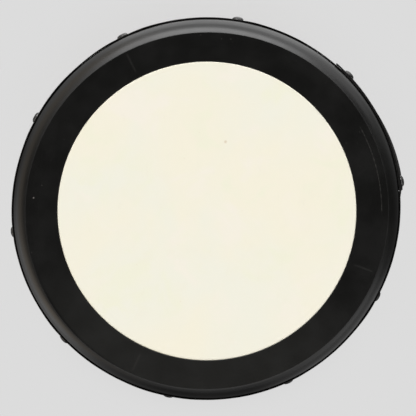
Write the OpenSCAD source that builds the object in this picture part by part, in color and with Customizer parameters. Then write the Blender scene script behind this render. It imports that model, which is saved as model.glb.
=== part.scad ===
// Goblet drum (darbuka): a turned wooden shell in two pieces, a film head on a
// flesh hoop, and a tuning ring that is drawn down by bolts from under the flange.
// Units are millimetres. The origin is the centre of the foot's resting plane,
// +Z runs up the drum's axis to the playing surface, and +X points at the lap
// of the edging strip.

/* [Head] */
// Height of the playing surface above the floor
play_height = 440; // [400:1:470]
// Radius of the head that shows inside the tuning ring
head_r = 109.25; // [100:0.25:118]
// Thickness of the head film
film_t = 0.5; // [0.3:0.05:0.7]

/* [Tuning ring] */
// Height of the ring's top above the playing surface, when in tune (negative is below)
ring_rise = -0.5; // [-2:0.5:2]
// Width of the ring's flat top, from its inner edge to its shoulder
ring_flat_w = 21.75; // [18:0.25:24]
// Outer radius of the ring
ring_r = 140.25; // [136:0.25:146]
// Radius of the ring's rounded shoulder
shoulder_r = 14.7; // [13:0.1:18]
// Depth of the ring from its top to its outer underside
ring_depth = 18; // [16:1:20]

/* [Tuning bolts] */
// Number of tuning bolts, and of tacks between them
bolt_count = 10; // [10:10]
// Radius of the circle that the bolts stand on
bolt_circle_r = 128; // [126:0.5:131]
// Thread radius of a bolt
bolt_r = 3; // [3:0.5:4]
// Length of a bolt under its head
bolt_len = 30; // [28:1:36]
// Gap round a bolt in its threaded insert
thread_gap = 0.05; // [0.02:0.01:0.1]

/* [Shell] */
// Thickness of the flange
flange_t = 14; // [12:1:18]
// Depth of the flange's top below the playing surface
flange_drop = 22; // [21:1:26]
// Outer radius of the bowl under the flange
bowl_r = 117; // [113:0.5:119]
// Height of the glue joint at the neck
neck_z = 214; // [190:1:230]
// Outer radius of the neck
neck_r = 55; // [52:0.5:62]
// Radius of the bore through the neck
neck_bore_r = 41; // [36:0.5:42]
// Radius of the foot
foot_r = 110; // [100:1:120]

/* [Edging strip] */
// Thickness of the strip
strip_t = 0.8; // [0.6:0.1:2]
// Height of the strip
strip_h = 24; // [22:1:26]
// Angle where the strip starts, under its own lap
strip_start = 4.6; // [3:0.1:6]
// Angle where the strip's free end lies
strip_end = 48; // [46:0.5:50]
// Angle of the first tack
tack_first = 7.8; // [7:0.1:9]
// Radius of a tack's head
tack_head_r = 4.2; // [3.5:0.1:5]
// Height of a tack's head
tack_head_h = 2.2; // [1.6:0.1:3.4]

/* [Hidden] */
$fn = 96;

// heights
flange_top = play_height - flange_drop;
flange_bot = flange_top - flange_t;
ring_top = play_height + ring_rise;
ring_bot = ring_top - ring_depth;
crest_z = play_height - film_t;
hoop_top = play_height - 7;
hoop_bot = hoop_top - 8;
hoop_t = 0.8;

// radii
rim_r = head_r - 1.15;             // outside of the bearing rim
rim_in_r = rim_r - 8.6;            // inside of the bearing rim
crest_r = 0.8;                     // rounding of the bearing rim's outer corner
flange_r = ring_r + 0.2;
washer_t = 1.6;

// the film leaves the rim's rounding at this slope and enters the hoop upright
lean = 8;
bend_z = hoop_top - 2;
lean_from = [rim_r - crest_r + crest_r * cos(lean), crest_z - crest_r + crest_r * sin(lean)];
hoop_film_r = lean_from[0] + (lean_from[1] - bend_z) * tan(lean);
hoop_in_r = hoop_film_r - hoop_t;
hoop_r = 118;

// tuning ring
ring_flat_r = head_r + ring_flat_w;
shoulder_cx = ring_r - shoulder_r;
shoulder_cz = ring_top - sqrt(pow(shoulder_r, 2) - pow(ring_flat_r - shoulder_cx, 2));
insert_r = bolt_r + 1.5;
insert_len = 11;

// bolts and tacks
step = 360 / bolt_count;
bolt_first = tack_first + step / 2;
bolt_head_h = 6;
bolt_head_z = flange_bot - washer_t;
strip_gap = 0.03;
strip_in_r = flange_r + strip_gap;
lap_lift = strip_t + 0.1;
tack_z = flange_bot + 8;
tack_shank_r = 1;
tack_len = 12;

function arc(c, r, a0, a1, n = 8) =
    [for (i = [0:n]) let (a = a0 + (a1 - a0) * i / n) [c[0] + r * cos(a), c[1] + r * sin(a)]];
function bez(a, b, c, d, n = 16) =
    [for (i = [0:n]) let (t = i / n, u = 1 - t) u*u*u * a + 3*u*u*t * b + 3*u*t*t * c + t*t*t * d];
// a run of points without its first, so that two runs can share an end
function rest(v) = [for (i = [1:len(v) - 1]) v[i]];
function back(v) = [for (i = [len(v) - 1:-1:0]) v[i]];
function smooth(t) = t <= 0 ? 0 : t >= 1 ? 1 : t * t * (3 - 2 * t);

// the goblet's outside, from under the flange to the glue joint, and on to the foot
waist_r = neck_r + 24;
bowl_out = concat(
    bez([bowl_r, flange_bot - 4], [bowl_r + 1.5, flange_bot - 62], [waist_r + 24, neck_z + 86], [waist_r, neck_z + 54], 20),
    rest(bez([waist_r, neck_z + 54], [waist_r - 12, neck_z + 38], [neck_r, neck_z + 33], [neck_r, neck_z + 11], 14)),
    arc([neck_r + 0.5, neck_z + 6], 5, 80, -80, 12), [[neck_r, neck_z + 1], [neck_r, neck_z]]);
stem_out = concat(
    [[neck_r, neck_z], [neck_r, neck_z - 1.5]],
    arc([neck_r, neck_z - 4.5], 3, 80, -80, 10),
    bez([neck_r, neck_z - 7.5], [neck_r, neck_z - 54], [neck_r + 5, 122], [neck_r + 14, 86], 14),
    rest(bez([neck_r + 14, 86], [neck_r + 21.8, 54.8], [foot_r - 18, 33], [foot_r, 15], 14)));
// and its inside, from the bearing rim down
bowl_in = concat(
    [[rim_in_r, flange_bot + 6]],
    bez([bowl_r - 12, flange_bot - 18], [bowl_r - 11, flange_bot - 67], [waist_r + 14, neck_z + 88], [waist_r - 11, neck_z + 56]),
    rest(bez([waist_r - 11, neck_z + 56], [waist_r - 20, neck_z + 44.5], [neck_bore_r, neck_z + 42], [neck_bore_r, neck_z + 24], 10)));
stem_in = concat(
    bez([neck_bore_r, neck_z - 24], [neck_bore_r + 1, neck_z - 60], [neck_r - 5.5, 118], [neck_r + 3.5, 82], 10),
    rest(bez([neck_r + 3.5, 82], [neck_r + 11.3, 50.8], [foot_r - 29, 30], [foot_r - 12, 11.5], 10)));
tenon_r = neck_bore_r + 6.5;
tenon_h = 22;
foot_groove_r = foot_r - 20.5;

module bowl_shell() {
    color([0.12, 0.12, 0.11])
    difference() {
        rotate_extrude() difference() {
            polygon(concat(
                arc([rim_in_r + 4, crest_z - 4], 4, 180, 90),
                arc([rim_r - crest_r, crest_z - crest_r], crest_r, 90, lean),
                rest(arc([rim_r - crest_r, crest_z - crest_r], crest_r, lean, 0, 2)),
                [[rim_r, flange_top], [flange_r - 0.6, flange_top], [flange_r, flange_top - 0.6],
                 [flange_r, flange_bot + 0.6], [flange_r - 0.6, flange_bot]],
                arc([bowl_r + 4, flange_bot - 4], 4, 90, 180, 5),
                rest(bowl_out),
                [[tenon_r, neck_z], [tenon_r, neck_z + tenon_h], [neck_bore_r, neck_z + tenon_h]],
                back(bowl_in)));
            // pair of turned grooves under the flange
            translate([bowl_r + 0.6, flange_bot - 18]) circle(r = 1.4);
            translate([bowl_r + 0.6, flange_bot - 24]) circle(r = 1.4);
        }
        for (i = [0:bolt_count - 1]) rotate(bolt_first + i * step)
            translate([bolt_circle_r, 0, flange_bot - 1]) cylinder(r = bolt_r + 0.4, h = flange_t + 2);
        tack_shanks();
    }
}

module stem_foot() {
    color([0.12, 0.12, 0.11])
    rotate_extrude() difference() {
        polygon(concat(
            [[neck_bore_r, neck_z + tenon_h], [tenon_r - 0.8, neck_z + tenon_h], [tenon_r, neck_z + tenon_h - 0.8], [tenon_r, neck_z]],
            stem_out,
            [[foot_r, 5], [foot_r - 12, 5]],
            back(stem_in)));
        // turned groove above the foot
        translate([foot_groove_r, 36]) circle(r = 1.4);
    }
}

module foot_ring() {
    color([0.07, 0.07, 0.07])
    rotate_extrude() polygon([
        [foot_r - 10.5, 0], [foot_r + 0.5, 0], [foot_r + 1.5, 1], [foot_r + 1.5, 11.5], [foot_r + 1, 12],
        [foot_r, 12], [foot_r, 5], [foot_r - 11.5, 5], [foot_r - 11.5, 1]]);
}

// the film's profile: flat, rounded over the bearing rim, then leaning out to the hoop
module film_profile() {
    polygon(concat(
        [[0, play_height]],
        arc([rim_r - crest_r, crest_z - crest_r], crest_r + film_t, 90, lean),
        [[hoop_film_r + film_t, bend_z], [hoop_film_r + film_t, hoop_bot + 2],
         [hoop_film_r, hoop_bot + 2], [hoop_film_r, bend_z]],
        arc([rim_r - crest_r, crest_z - crest_r], crest_r, lean, 90),
        [[0, crest_z]]));
}

module drum_skin() {
    color([0.95, 0.94, 0.87]) rotate_extrude() film_profile();
}

module flesh_hoop() {
    color([0.7, 0.7, 0.72])
    rotate_extrude() polygon([
        [hoop_in_r, hoop_bot + 0.4], [hoop_in_r + 0.4, hoop_bot], [hoop_r - 0.4, hoop_bot], [hoop_r, hoop_bot + 0.4],
        [hoop_r, hoop_top], [hoop_r - hoop_t, hoop_top],
        [hoop_r - hoop_t, hoop_bot + hoop_t], [hoop_film_r, hoop_bot + hoop_t],
        [hoop_film_r, bend_z - 0.2], [hoop_in_r, bend_z - 0.2]]);
}

module hoop_resin() {
    color([0.55, 0.42, 0.25])
    rotate_extrude() difference() {
        translate([hoop_film_r, hoop_bot + hoop_t])
            square([hoop_r - hoop_t - hoop_film_r, hoop_top - 0.8 - hoop_bot - hoop_t]);
        film_profile();
        translate([0, bend_z - 0.1]) square([hoop_film_r + film_t + 0.6, 10]);
    }
}

module tuning_ring() {
    color([0.12, 0.12, 0.11])
    difference() {
        rotate_extrude() polygon(concat(
            [[head_r, ring_top - 0.3], [head_r + 0.3, ring_top]],
            arc([shoulder_cx, shoulder_cz], shoulder_r, acos((ring_flat_r - shoulder_cx) / shoulder_r),
                asin((ring_bot - shoulder_cz) / shoulder_r), 18),
            [[hoop_r + 1.5, ring_bot], [hoop_r + 1.5, hoop_top], [head_r + 1.35, hoop_top],
             [head_r + 1.35, hoop_top + 1.5], [head_r, hoop_top + 4]]));
        for (i = [0:bolt_count - 1]) rotate(bolt_first + i * step)
            translate([bolt_circle_r, 0, ring_bot]) {
                translate([0, 0, -1]) cylinder(r = insert_r, h = insert_len + 1);
                cylinder(r = bolt_r + 0.4, h = insert_len + 2.5);
            }
    }
}

module ring_inserts() {
    color([0.78, 0.62, 0.3])
    for (i = [0:bolt_count - 1]) rotate(bolt_first + i * step)
        translate([bolt_circle_r, 0, ring_bot]) difference() {
            cylinder(r = insert_r, h = insert_len);
            translate([0, 0, -1]) cylinder(r = bolt_r + thread_gap, h = insert_len + 2);
        }
}

// socket-head bolt, its head down and its shank up through the flange into an insert
module tuning_bolt(i) {
    color([0.25, 0.25, 0.26])
    rotate(bolt_first + i * step) translate([bolt_circle_r, 0, bolt_head_z]) difference() {
        union() {
            translate([0, 0, -bolt_head_h]) cylinder(r1 = 4.5, r2 = 5, h = 0.5);
            translate([0, 0, -bolt_head_h + 0.5]) cylinder(r = 5, h = bolt_head_h - 0.5);
            cylinder(r = bolt_r, h = bolt_len - 0.6);
            translate([0, 0, bolt_len - 0.6]) cylinder(r1 = bolt_r, r2 = bolt_r - 0.6, h = 0.6);
        }
        translate([0, 0, -bolt_head_h - 1]) cylinder(r = 5 / sqrt(3), h = 4.2, $fn = 6);
    }
}
module tuning_bolt_01() { tuning_bolt(0); }
module tuning_bolt_02() { tuning_bolt(1); }
module tuning_bolt_03() { tuning_bolt(2); }
module tuning_bolt_04() { tuning_bolt(3); }
module tuning_bolt_05() { tuning_bolt(4); }
module tuning_bolt_06() { tuning_bolt(5); }
module tuning_bolt_07() { tuning_bolt(6); }
module tuning_bolt_08() { tuning_bolt(7); }
module tuning_bolt_09() { tuning_bolt(8); }
module tuning_bolt_10() { tuning_bolt(9); }

module bolt_washers() {
    color([0.6, 0.6, 0.62])
    for (i = [0:bolt_count - 1]) rotate(bolt_first + i * step)
        translate([bolt_circle_r, 0, bolt_head_z]) difference() {
            cylinder(r = 6, h = washer_t);
            translate([0, 0, -1]) cylinder(r = bolt_r + 0.3, h = washer_t + 2);
        }
}

// the strip runs once round the flange, steps up on its own start and laps past it
function strip_r(a) = strip_in_r + lap_lift * smooth((a - 352) / 10);

module edge_strip() {
    turn = [for (i = [0:202]) strip_start + (360 + strip_end - strip_start) * i / 202];
    color([0.1, 0.1, 0.1])
    difference() {
        translate([0, 0, flange_bot]) linear_extrude(height = strip_h)
            polygon(concat(
                [for (a = turn) strip_r(a) * [cos(a), sin(a)]],
                [for (a = back(turn)) (strip_r(a) + strip_t) * [cos(a), sin(a)]]));
        tack_shanks();
    }
}

// a tack's seat: the outer face of the strip, or of its lap
function tack_seat(i) = strip_in_r + strip_t + (i < 2 ? lap_lift : 0);

module tack_shanks() {
    for (i = [0:bolt_count - 1])
        rotate(tack_first + i * step) translate([0, 0, tack_z]) rotate([0, -90, 0])
            translate([0, 0, -tack_seat(i)]) {
                cylinder(r = tack_shank_r, h = tack_len);
                translate([0, 0, tack_len]) cylinder(r1 = tack_shank_r, r2 = 0.2, h = 1.5);
            }
}

module strip_tacks() {
    dome_r = (pow(tack_head_r, 2) + pow(tack_head_h, 2)) / (2 * tack_head_h);
    color([0.3, 0.3, 0.3]) {
        for (i = [0:bolt_count - 1])
            rotate(tack_first + i * step) translate([0, 0, tack_z]) rotate([0, -90, 0])
                translate([0, 0, -tack_seat(i)]) union() {
                    intersection() {
                        translate([0, 0, dome_r - tack_head_h]) sphere(r = dome_r);
                        translate([0, 0, -tack_head_h - 1]) cylinder(r = tack_head_r + 1, h = tack_head_h + 1);
                    }
                    translate([0, 0, -0.5]) cylinder(r = tack_shank_r, h = tack_len + 0.5);
                    translate([0, 0, tack_len]) cylinder(r1 = tack_shank_r, r2 = 0.2, h = 1.5);
                }
    }
}

bowl_shell();
stem_foot();
foot_ring();
drum_skin();
flesh_hoop();
hoop_resin();
tuning_ring();
ring_inserts();
tuning_bolt_01();
tuning_bolt_02();
tuning_bolt_03();
tuning_bolt_04();
tuning_bolt_05();
tuning_bolt_06();
tuning_bolt_07();
tuning_bolt_08();
tuning_bolt_09();
tuning_bolt_10();
bolt_washers();
edge_strip();
strip_tacks();
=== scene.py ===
import math
import random

import bpy
import numpy as np
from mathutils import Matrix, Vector


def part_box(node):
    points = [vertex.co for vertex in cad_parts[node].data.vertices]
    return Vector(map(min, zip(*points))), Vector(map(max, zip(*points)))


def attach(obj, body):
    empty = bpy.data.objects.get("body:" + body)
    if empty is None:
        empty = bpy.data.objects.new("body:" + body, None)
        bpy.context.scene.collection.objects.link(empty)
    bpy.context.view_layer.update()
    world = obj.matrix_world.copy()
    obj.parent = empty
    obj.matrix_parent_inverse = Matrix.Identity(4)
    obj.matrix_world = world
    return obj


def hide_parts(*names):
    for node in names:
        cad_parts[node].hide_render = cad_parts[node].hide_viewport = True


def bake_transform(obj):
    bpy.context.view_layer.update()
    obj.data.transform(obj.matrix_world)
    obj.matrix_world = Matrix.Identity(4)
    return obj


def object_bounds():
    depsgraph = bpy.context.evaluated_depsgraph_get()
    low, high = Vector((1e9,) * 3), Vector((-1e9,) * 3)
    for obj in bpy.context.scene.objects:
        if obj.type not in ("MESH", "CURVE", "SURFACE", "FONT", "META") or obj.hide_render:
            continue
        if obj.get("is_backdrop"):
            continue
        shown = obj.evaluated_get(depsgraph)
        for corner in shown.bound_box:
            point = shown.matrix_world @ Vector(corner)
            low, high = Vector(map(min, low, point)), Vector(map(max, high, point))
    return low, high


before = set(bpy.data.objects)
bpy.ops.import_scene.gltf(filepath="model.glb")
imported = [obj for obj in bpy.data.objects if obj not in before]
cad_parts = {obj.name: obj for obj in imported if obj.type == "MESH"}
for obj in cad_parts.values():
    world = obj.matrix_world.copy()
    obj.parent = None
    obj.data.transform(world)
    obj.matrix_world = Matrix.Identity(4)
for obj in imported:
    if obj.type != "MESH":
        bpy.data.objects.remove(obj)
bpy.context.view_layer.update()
rng = random.Random(11)

# ---------------------------------------------------------------- sizes, in mm
MM = 0.001


def box_mm(node):
    lo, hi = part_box(node)
    return [1000 * v for v in lo], [1000 * v for v in hi]


SKIN_TOP = box_mm("drum_skin")[1][2]
RING_BOT, RING_TOP = box_mm("tuning_ring")[0][2], box_mm("tuning_ring")[1][2]
RING_R = box_mm("tuning_ring")[1][0]
HOOP_BOT, HOOP_TOP = box_mm("flesh_hoop")[0][2], box_mm("flesh_hoop")[1][2]
HOOP_R = box_mm("flesh_hoop")[1][0]
STRIP_BOT, STRIP_TOP = box_mm("edge_strip")[0][2], box_mm("edge_strip")[1][2]
HEAD_R = 109.25
FLAT_R = HEAD_R + 22.25
SHOULDER = 14.7
SHOULDER_CX = RING_R - SHOULDER
SHOULDER_CZ = RING_TOP - math.sqrt(SHOULDER ** 2 - (FLAT_R - SHOULDER_CX) ** 2)
FLANGE_R = RING_R + 0.2
FLANGE_BOT = STRIP_BOT
FLANGE_TOP = FLANGE_BOT + 14
RIM_R = HEAD_R - 1.15
FILM_T = 0.5
CREST = 0.8
CREST_Z = SKIN_TOP - FILM_T
BEND_Z = HOOP_TOP - 2
LEAN = math.radians(8)
LEAN_R = RIM_R - CREST + CREST * math.cos(LEAN)
LEAN_Z = CREST_Z - CREST + CREST * math.sin(LEAN)
HOOP_FILM_R = LEAN_R + (LEAN_Z - BEND_Z) * math.tan(LEAN)
HOOP_T = 0.8
STRIP_IN = FLANGE_R + 0.03
STRIP_T = 0.8
LAP = 0.81
TACK_Z = FLANGE_BOT + 8
BOLTS = []
for i in range(1, 11):
    lo, hi = box_mm("tuning_bolt_%02d" % i)
    BOLTS.append(((lo[0] + hi[0]) / 2, (lo[1] + hi[1]) / 2, lo[2] + 6.0, hi[2]))


def smooth(t):
    t = np.clip(t, 0.0, 1.0)
    return t * t * (3 - 2 * t)


# The ring and flange were turned by hand and have moved since: the rim is a
# little out of round, and its outer edge is a little off the head's centre.
def place(r, th):
    r = np.asarray(r, float)
    s2 = smooth((r - 111.0) / 20.0)
    s1 = smooth((r - 130.0) / 9.0)
    rr = r + s2 * (1.10 * np.cos(2 * th) + 0.58 * np.sin(2 * th)) \
        + s1 * (-0.15 * np.cos(3 * th) + 0.05 * np.sin(3 * th) + 0.24 * np.sin(4 * th))
    return rr * np.cos(th) + s1 * -0.42, rr * np.sin(th) + s1 * 1.14


def round_place(r, th):
    return r * np.cos(th), r * np.sin(th)


# ---------------------------------------------------------------- profiles
def bez(a, b, c, d, n=24):
    out = []
    for i in range(n + 1):
        t = i / n
        u = 1 - t
        out.append(tuple(u * u * u * a[k] + 3 * u * u * t * b[k] + 3 * u * t * t * c[k] + t ** 3 * d[k] for k in (0, 1)))
    return out


def arc(c, r, a0, a1, n=12):
    return [(c[0] + r * math.cos(math.radians(a0 + (a1 - a0) * i / n)),
             c[1] + r * math.sin(math.radians(a0 + (a1 - a0) * i / n))) for i in range(n + 1)]


def rounded(pts, steps=4, support=0.6, closed=True):
    """Rounds the corners of an outline. pts holds (r, z) or (r, z, fillet) or (r, z, fillet, material).
    Gives rows of (r, z, wear, material): wear is 1 on a rounded outer corner and 0 beside it."""
    full = [(p[0], p[1], p[2] if len(p) > 2 else 0.0, p[3] if len(p) > 3 else 0) for p in pts]
    area = sum(full[i][0] * full[(i + 1) % len(full)][1] - full[(i + 1) % len(full)][0] * full[i][1] for i in range(len(full)))
    out = []
    for i, (r, z, f, m) in enumerate(full):
        if f <= 0:
            out.append((r, z, 0.0, m))
            continue
        b = np.array((r, z))
        a = np.array(full[i - 1][:2])
        c = np.array(full[(i + 1) % len(full)][:2])
        la, lc = np.linalg.norm(a - b), np.linalg.norm(c - b)
        u, v = (a - b) / la, (c - b) / lc
        half = math.acos(max(-1.0, min(1.0, float(u @ v)))) / 2
        if half > math.radians(89):
            out.append((r, z, 0.0, m))
            continue
        t = min(f / math.tan(half), 0.48 * la, 0.48 * lc)
        f = t * math.tan(half)
        mid = b + (u + v) / np.linalg.norm(u + v) * f / math.sin(half)
        p0, p1 = b + u * t - mid, b + v * t - mid
        turn = math.acos(max(-1.0, min(1.0, float(p0 @ p1) / (f * f))))
        cross = (b - a)[0] * (c - b)[1] - (b - a)[1] * (c - b)[0]
        outer = 1.0 if cross * area > 0 else 0.0
        if la > 2.2 * (t + support):
            out.append((*(b + u * (t + support)), 0.0, m))
        for k in range(steps + 1):
            s = k / steps
            q = mid + (p0 * math.sin((1 - s) * turn) + p1 * math.sin(s * turn)) / math.sin(turn)
            out.append((q[0], q[1], outer * (0.25 + 0.75 * math.sin(math.pi * s)), m))
        if lc > 2.2 * (t + support):
            out.append((*(b + v * (t + support)), 0.0, m))
    return out


def densify(pts, step, fine=None, fine_step=0.3):
    """Splits the long runs of an open line of (r, z); near the heights in fine the steps are short."""
    out = [pts[0]]
    for a, b in zip(pts, pts[1:]):
        d = math.hypot(b[0] - a[0], b[1] - a[1])
        mid = (a[1] + b[1]) / 2
        near = fine and any(abs(mid - f) < 3.5 + d / 2 for f in fine)
        n = max(1, int(math.ceil(d / (fine_step if near else step))))
        out += [(a[0] + (b[0] - a[0]) * k / n, a[1] + (b[1] - a[1]) * k / n) for k in range(1, n + 1)]
    return out


def groove(pts, zs, depth=0.85, half=1.3):
    out = []
    for r, z in pts:
        for g in zs:
            t = 1 - ((z - g) / half) ** 2
            if t > 0:
                r -= depth * math.sqrt(t)
        out.append((r, z))
    return out


# ---------------------------------------------------------------- meshes
def make_object(name, verts, faces, mats, attrs=None, ids=None, angle=32):
    verts = np.asarray(verts, float)
    vol = 0.0
    for f in faces:
        p = verts[f[0]]
        for k in range(1, len(f) - 1):
            q, s = verts[f[k]], verts[f[k + 1]]
            vol += (p[0] * (q[1] * s[2] - q[2] * s[1]) - p[1] * (q[0] * s[2] - q[2] * s[0]) + p[2] * (q[0] * s[1] - q[1] * s[0]))
    if vol < 0:
        faces = [tuple(reversed(f)) for f in faces]
    me = bpy.data.meshes.new(name)
    me.from_pydata([tuple(v) for v in verts * MM], [], faces)
    for key, vals in (attrs or {}).items():
        a = me.attributes.new(key, "FLOAT", "POINT")
        a.data.foreach_set("value", np.asarray(vals, np.float32))
    for m in mats:
        me.materials.append(m)
    if ids is not None:
        me.polygons.foreach_set("material_index", np.asarray(ids, np.int32))
    me.polygons.foreach_set("use_smooth", np.ones(len(me.polygons), bool))
    me.validate()
    me.update()
    me.set_sharp_from_angle(angle=math.radians(angle))
    ob = bpy.data.objects.new(name, me)
    bpy.context.scene.collection.objects.link(ob)
    return ob


def revolve_data(prof, segs, spot=round_place, radius=None):
    """Turns rows of (r, z, wear, material) about +Z. radius(row, angles) may vary a row's radius round the turn."""
    th = np.arange(segs) * 2 * math.pi / segs
    verts, wear, along, starts, poles = [], [], [], [], []
    s = 0.0
    for i, (r, z, w, m) in enumerate(prof):
        if i:
            s += math.hypot(r - prof[i - 1][0], z - prof[i - 1][1])
        starts.append(len(verts))
        if r < 1e-6:
            poles.append(True)
            verts.append((0.0, 0.0, z))
            wear.append(w)
            along.append(s)
            continue
        poles.append(False)
        rr = radius(i, th) if radius else np.full(segs, r)
        x, y = spot(rr, th)
        verts += list(zip(x, y, np.full(segs, z)))
        wear += [w] * segs
        along += [s] * segs
    n = len(prof)
    closed = not (poles[0] and poles[-1])
    faces, ids = [], []
    for i in range(n if closed else n - 1):
        k = (i + 1) % n
        a, b = starts[i], starts[k]
        m = prof[i][3]
        for j in range(segs):
            jn = (j + 1) % segs
            if poles[i] and poles[k]:
                continue
            if poles[i]:
                faces.append((a, b + j, b + jn))
            elif poles[k]:
                faces.append((a + j, b, a + jn))
            else:
                faces.append((a + j, b + j, b + jn, a + jn))
            ids.append(m)
    return verts, faces, wear, along, ids


def revolve(name, prof, mats, segs=384, spot=place, angle=32):
    verts, faces, wear, along, ids = revolve_data(prof, segs, spot)
    return make_object(name, verts, faces, mats, {"wear": wear, "along": along}, ids, angle)


def cut(ob, cutters):
    """Subtracts round or square pins from ob. cutters holds (verts, faces) in mm."""
    verts, faces = [], []
    for v, f in cutters:
        base = len(verts)
        verts += list(v)
        faces += [tuple(base + k for k in q) for q in f]
    me = bpy.data.meshes.new("pins")
    me.from_pydata([tuple(np.array(v) * MM) for v in verts], [], faces)
    tool = bpy.data.objects.new("pins", me)
    bpy.context.scene.collection.objects.link(tool)
    mod = ob.modifiers.new("pins", "BOOLEAN")
    mod.operation, mod.solver, mod.object = "DIFFERENCE", "EXACT", tool
    dg = bpy.context.evaluated_depsgraph_get()
    new = bpy.data.meshes.new_from_object(ob.evaluated_get(dg), preserve_all_data_layers=True, depsgraph=dg)
    ob.modifiers.clear()
    old = ob.data
    ob.data = new
    bpy.data.meshes.remove(old)
    bpy.data.objects.remove(tool)
    bpy.data.meshes.remove(me)
    return ob


def pin(x, y, z0, z1, r, segs=40):
    prof = [(0, z0, 0, 0), (r, z0, 0, 0), (r, z1, 0, 0), (0, z1, 0, 0)]
    v, f, *_ = revolve_data(prof, segs)
    # outward faces: the profile runs from the bottom pole out and up
    return [(a + x, b + y, c) for a, b, c in v], f


def join_data(parts):
    verts, faces, wear, along, ids = [], [], [], [], []
    for v, f, w, a, m in parts:
        base = len(verts)
        verts += list(v)
        faces += [tuple(base + k for k in q) for q in f]
        wear += list(w)
        along += list(a)
        ids += list(m)
    return verts, faces, wear, along, ids


# ---------------------------------------------------------------- materials
class Mat:
    def __init__(self, name, tree=None):
        if tree is None:
            self.m = bpy.data.materials.new(name)
            self.m.use_nodes = True
            self.t = self.m.node_tree
            self.t.nodes.clear()
            self.out = self.t.nodes.new("ShaderNodeOutputMaterial")
            self.b = self.t.nodes.new("ShaderNodeBsdfPrincipled")
            self.t.links.new(self.b.outputs[0], self.out.inputs[0])
        else:
            self.t = tree
        self.coord = self.t.nodes.new("ShaderNodeTexCoord")
        self._mm = None

    @property
    def mm(self):
        if self._mm is None:
            n = self.t.nodes.new("ShaderNodeVectorMath")
            n.operation = "SCALE"
            self.t.links.new(self.coord.outputs["Object"], n.inputs[0])
            n.inputs["Scale"].default_value = 1000.0
            self._mm = n.outputs[0]
        return self._mm

    def put(self, sock, v):
        if isinstance(v, bpy.types.NodeSocket):
            self.t.links.new(v, sock)
        elif isinstance(v, tuple) and len(v) == 3 and sock.type == "RGBA":
            sock.default_value = (*v, 1.0)
        else:
            sock.default_value = v

    def set(self, **kw):
        names = {"base": "Base Color", "rough": "Roughness", "metal": "Metallic", "spec": "Specular IOR Level",
                 "normal": "Normal", "coat": "Coat Weight", "coat_rough": "Coat Roughness", "aniso": "Anisotropic",
                 "sheen": "Sheen Weight", "sss": "Subsurface Weight", "tint": "Specular Tint", "trans": "Transmission Weight"}
        for k, v in kw.items():
            self.put(self.b.inputs[names[k]], v)
        return self

    def math(self, op, a, b=0.0, c=0.0, clamp=False):
        n = self.t.nodes.new("ShaderNodeMath")
        n.operation, n.use_clamp = op, clamp
        for s, v in zip(n.inputs, (a, b, c)):
            self.put(s, v)
        return n.outputs[0]

    def add(self, a, b):
        return self.math("ADD", a, b)

    def mul(self, a, b):
        return self.math("MULTIPLY", a, b)

    def vmul(self, vec, by):
        n = self.t.nodes.new("ShaderNodeVectorMath")
        n.operation = "MULTIPLY"
        self.put(n.inputs[0], vec)
        n.inputs[1].default_value = by
        return n.outputs[0]

    def add_vec(self, vec, by):
        n = self.t.nodes.new("ShaderNodeVectorMath")
        n.operation = "ADD"
        self.put(n.inputs[0], vec)
        n.inputs[1].default_value = by
        return n.outputs[0]

    def xyz(self, vec):
        n = self.t.nodes.new("ShaderNodeSeparateXYZ")
        self.put(n.inputs[0], vec)
        return n.outputs

    def pack(self, x, y, z):
        n = self.t.nodes.new("ShaderNodeCombineXYZ")
        for s, v in zip(n.inputs, (x, y, z)):
            self.put(s, v)
        return n.outputs[0]

    def noise(self, vec, scale, detail=2.0, rough=0.5, distort=0.0):
        n = self.t.nodes.new("ShaderNodeTexNoise")
        self.put(n.inputs["Vector"], vec)
        for k, v in (("Scale", scale), ("Detail", detail), ("Roughness", rough), ("Distortion", distort)):
            n.inputs[k].default_value = v
        return n.outputs[0]

    def noise1(self, w, scale, detail=2.0, rough=0.5):
        n = self.t.nodes.new("ShaderNodeTexNoise")
        n.noise_dimensions = "1D"
        self.put(n.inputs["W"], w)
        for k, v in (("Scale", scale), ("Detail", detail), ("Roughness", rough)):
            n.inputs[k].default_value = v
        return n.outputs[0]

    def cells(self, vec, scale, feature="F1", rand=1.0):
        n = self.t.nodes.new("ShaderNodeTexVoronoi")
        n.feature = feature
        self.put(n.inputs["Vector"], vec)
        n.inputs["Scale"].default_value = scale
        n.inputs["Randomness"].default_value = rand
        return n.outputs["Distance"]

    def attr(self, name):
        n = self.t.nodes.new("ShaderNodeAttribute")
        n.attribute_name = name
        return n.outputs["Fac"]

    def step(self, v, lo, hi, a=0.0, b=1.0):
        n = self.t.nodes.new("ShaderNodeMapRange")
        n.interpolation_type = "SMOOTHSTEP"
        for k, x in zip(("Value", "From Min", "From Max", "To Min", "To Max"), (v, lo, hi, a, b)):
            self.put(n.inputs[k], x)
        return n.outputs[0]

    def band(self, v, lo, hi, soft):
        return self.mul(self.step(v, lo - soft, lo), self.step(v, hi, hi + soft, 1.0, 0.0))

    def mix(self, fac, a, b):
        n = self.t.nodes.new("ShaderNodeMix")
        n.data_type = "RGBA"
        self.put(n.inputs[0], fac)
        self.put(n.inputs[6], a)
        self.put(n.inputs[7], b)
        return n.outputs[2]

    def bump(self, height, dist_mm, strength=1.0, under=None):
        n = self.t.nodes.new("ShaderNodeBump")
        n.inputs["Strength"].default_value = strength
        n.inputs["Distance"].default_value = dist_mm * MM
        self.put(n.inputs["Height"], height)
        if under is not None:
            self.put(n.inputs["Normal"], under)
        return n.outputs[0]

    def polar(self):
        """(radius in mm, angle in degrees from 0 to 360, x, y, z in mm)"""
        x, y, z = self.xyz(self.mm)
        r = self.math("SQRT", self.add(self.mul(x, x), self.mul(y, y)))
        a = self.mul(self.math("ARCTAN2", y, x), 180 / math.pi)
        a = self.math("WRAP", a, 360.0, 0.0)
        return r, a, x, y, z


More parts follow.
